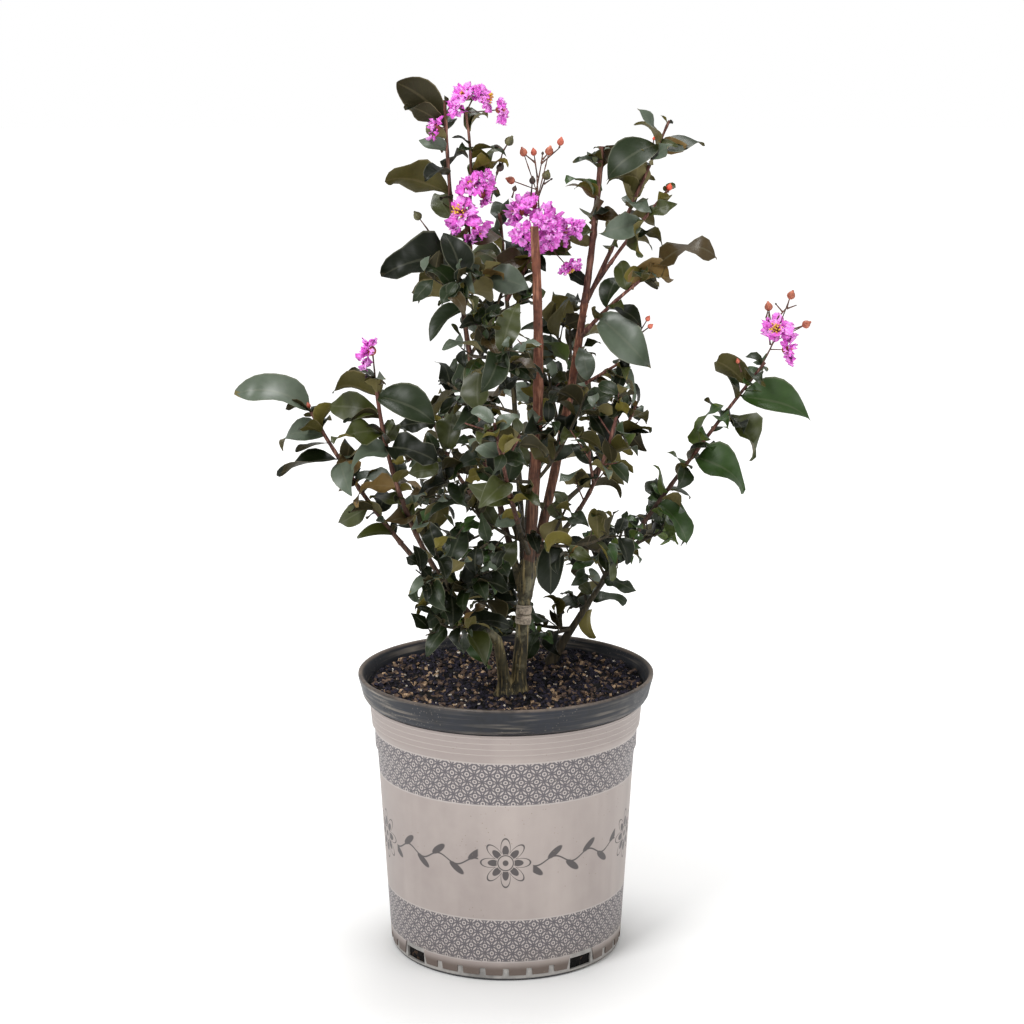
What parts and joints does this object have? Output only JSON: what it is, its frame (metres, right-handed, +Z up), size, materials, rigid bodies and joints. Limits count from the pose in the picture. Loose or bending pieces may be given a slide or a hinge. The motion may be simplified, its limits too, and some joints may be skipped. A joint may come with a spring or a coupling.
{
  "type": "potted crape myrtle",
  "caption": "Young crape myrtle shrub with several bare stems, arching leafy shoots and clusters of crinkled pink flowers, standing in a round tapered nursery pot with a printed sleeve",
  "frame": {"origin": "the middle of the pot's flat underside", "axes": "+Z up along the plant, -Y towards the front of the printed sleeve, +X to the right as seen from the front"},
  "size_m": [0.458, 0.3203, 0.7012],
  "materials": {
    "pot": "satin dark blue-grey",
    "sleeve": "satin warm grey with printed bands",
    "potting_mix": "rough dark bark mix",
    "tape": "soft off-white",
    "bark": "smooth grey-brown to reddish bark",
    "foliage": "dark green leaves with bronze undersides"
  },
  "bodies": {
    "root": {"pot": "pot", "pot_sleeve": "sleeve", "potting_mix": "potting_mix", "stem_tape": "tape", "trunk": "bark", "centre_bough": "bark", "right_mid_bough": "bark", "left_mid_bough": "bark", "mid_back_bough": "bark", "left_low_bough": "bark", "left_front_bough": "bark", "right_low_bough": "bark", "right_front_bough": "bark", "back_bough": "bark", "front_bough": "bark", "back_left_bough": "bark", "back_right_bough": "bark", "right_top_bough": "bark", "right_upper_bough": "bark", "right_outer_bough": "bark", "left_low_leaves": "foliage", "left_front_leaves": "foliage", "left_mid_leaves": "foliage", "right_mid_leaves": "foliage", "right_top_leaves": "foliage", "right_upper_leaves": "foliage", "right_outer_leaves": "foliage", "right_low_leaves": "foliage", "left_high_leaves": "foliage", "left_bloom_leaves": "foliage", "mid_high_leaves": "foliage", "mid_back_leaves": "foliage", "mid_right_leaves": "foliage", "right_front_leaves": "foliage", "back_leaves": "foliage", "front_leaves": "foliage", "back_left_leaves": "foliage", "back_right_leaves": "foliage", "mid_front_leaves": "foliage", "mid_front_right_leaves": "foliage", "mid_rear_right_leaves": "foliage", "mid_rear_leaves": "foliage", "mid_rear_left_leaves": "foliage", "mid_left_leaves": "foliage", "mid_front_left_leaves": "foliage", "mid_inner_leaves": "foliage", "low_front_leaves": "foliage", "low_front_right_leaves": "foliage", "low_right_leaves": "foliage", "low_rear_right_leaves": "foliage", "low_rear_leaves": "foliage", "low_rear_left_leaves": "foliage", "low_left_leaves": "foliage", "low_front_left_leaves": "foliage", "low_inner_leaves": "foliage", "side_front_leaves": "foliage", "side_rear_leaves": "foliage", "side_inner_leaves": "foliage"}
  },
  "joints": []
}
